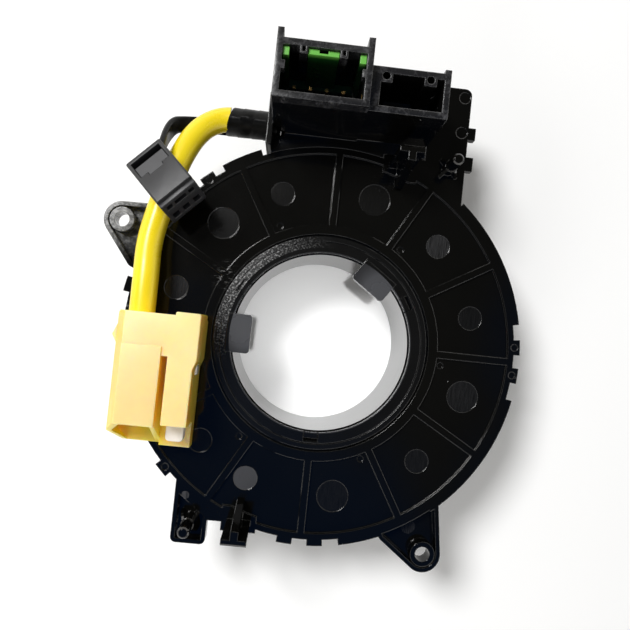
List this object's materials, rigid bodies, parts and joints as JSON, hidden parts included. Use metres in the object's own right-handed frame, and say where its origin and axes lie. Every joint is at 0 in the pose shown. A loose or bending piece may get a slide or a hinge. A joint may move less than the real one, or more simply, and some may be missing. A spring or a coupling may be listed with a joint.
{
  "type": "steering clock spring",
  "caption": "Rotary coupling for a steering column: a ring-shaped rotor turns in a ribbed round case that holds a coiled flat cable, with plug sockets, locating posts and leads with plugs.",
  "frame": {"origin": "on the axis of the bore, in the plane of the rotor's wheel-side end, which the part stands on", "axes": "+Z along the bore to the column side, where the sockets, posts and leads are; +Y towards the plug sockets; +X completes the frame"},
  "size_m": [0.1115, 0.1272, 0.058],
  "materials": {
    "gloss_black": "glossy moulded, slightly mottled",
    "satin_black": "satin moulded",
    "satin_grey": "satin moulded",
    "tape_black": "wrapped vinyl tape, soft sheen",
    "lead_block_black": "plain moulded",
    "yellow_sleeve": "glossy soft tube",
    "pale_yellow": "satin moulded, pale yellow",
    "white": "satin moulded",
    "green": "smooth moulded",
    "gold": "plated contacts",
    "spring_steel": "plain strip",
    "cable_film": "clear film over flat copper tracks",
    "slide_film": "thin slippery film",
    "white_acetal": "plain moulded"
  },
  "bodies": {
    "stator": {"stator_cover": "gloss_black", "stator_case": "gloss_black", "connector_housing": "gloss_black", "block_lid": "gloss_black", "terminal_cap": "gloss_black", "shorting_bar_holder": "green", "shorting_springs": "spring_steel", "socket_pins": "gold", "stator_lead_block": "lead_block_black", "flat_cable": "cable_film", "upper_slide_sheet": "slide_film", "tape_wrap": "tape_black", "yellow_tube": "yellow_sleeve", "yellow_housing": "pale_yellow", "yellow_terminals": "gold", "black_lead": "tape_black", "black_housing": "satin_black", "black_terminals": "gold"},
    "rotor": {"rotor": "gloss_black", "rotor_ring": "gloss_black", "rotor_lead_block": "lead_block_black", "wheel_socket_pins": "gold", "lower_slide_sheet": "slide_film"},
    "carrier": {"roller_carrier": "white_acetal"},
    "lock": {"white_lock": "white"},
    "retainer": {"black_retainer": "satin_grey"},
    "roller_1": {"roller_1": "white_acetal"},
    "roller_2": {"roller_2": "white_acetal"},
    "roller_3": {"roller_3": "white_acetal"},
    "roller_4": {"roller_4": "white_acetal"},
    "roller_5": {"roller_5": "white_acetal"},
    "roller_6": {"roller_6": "white_acetal"}
  },
  "joints": [
    {"name": "rotor_turn", "type": "hinge", "parent": "stator", "child": "rotor", "pos_m": [0, 0, 0.01385], "axis": [0, 0, 1], "range_deg": [-900, 900], "deforming": ["flat_cable"]},
    {"name": "carrier_turn", "type": "hinge", "parent": "stator", "child": "carrier", "pos_m": [0, 0, 0.016], "axis": [0, 0, 1], "range_deg": [-360, 360]},
    {"name": "lock_slide", "type": "slide", "parent": "stator", "child": "lock", "axis": [0, 1, 0], "range_m": [0, 0.0025]},
    {"name": "retainer_slide", "type": "slide", "parent": "stator", "child": "retainer", "axis": [0.2435, -0.2402, -0.9397], "range_m": [0, 0.0007]},
    {"name": "roller_1_spin", "type": "hinge", "parent": "carrier", "child": "roller_1", "pos_m": [0, 0.0381, 0.0217], "axis": [0, 0, 1], "range_deg": [-2700, 2700]},
    {"name": "roller_2_spin", "type": "hinge", "parent": "carrier", "child": "roller_2", "pos_m": [-0.033, 0.01905, 0.0217], "axis": [0, 0, 1], "range_deg": [-2700, 2700]},
    {"name": "roller_3_spin", "type": "hinge", "parent": "carrier", "child": "roller_3", "pos_m": [-0.033, -0.01905, 0.0217], "axis": [0, 0, 1], "range_deg": [-2700, 2700]},
    {"name": "roller_4_spin", "type": "hinge", "parent": "carrier", "child": "roller_4", "pos_m": [0, -0.0381, 0.0217], "axis": [0, 0, 1], "range_deg": [-2700, 2700]},
    {"name": "roller_5_spin", "type": "hinge", "parent": "carrier", "child": "roller_5", "pos_m": [0.033, -0.01905, 0.0217], "axis": [0, 0, 1], "range_deg": [-2700, 2700]},
    {"name": "roller_6_spin", "type": "hinge", "parent": "carrier", "child": "roller_6", "pos_m": [0.033, 0.01905, 0.0217], "axis": [0, 0, 1], "range_deg": [-2700, 2700]}
  ],
  "couplings": [
    {"joint": "carrier_turn", "follows": "rotor_turn", "ratio": 0.38451},
    {"joint": "roller_1_spin", "follows": "rotor_turn", "ratio": -2.9086},
    {"joint": "roller_2_spin", "follows": "rotor_turn", "ratio": -2.9086},
    {"joint": "roller_3_spin", "follows": "rotor_turn", "ratio": -2.9086},
    {"joint": "roller_4_spin", "follows": "rotor_turn", "ratio": -2.9086},
    {"joint": "roller_5_spin", "follows": "rotor_turn", "ratio": -2.9086},
    {"joint": "roller_6_spin", "follows": "rotor_turn", "ratio": -2.9086}
  ]
}
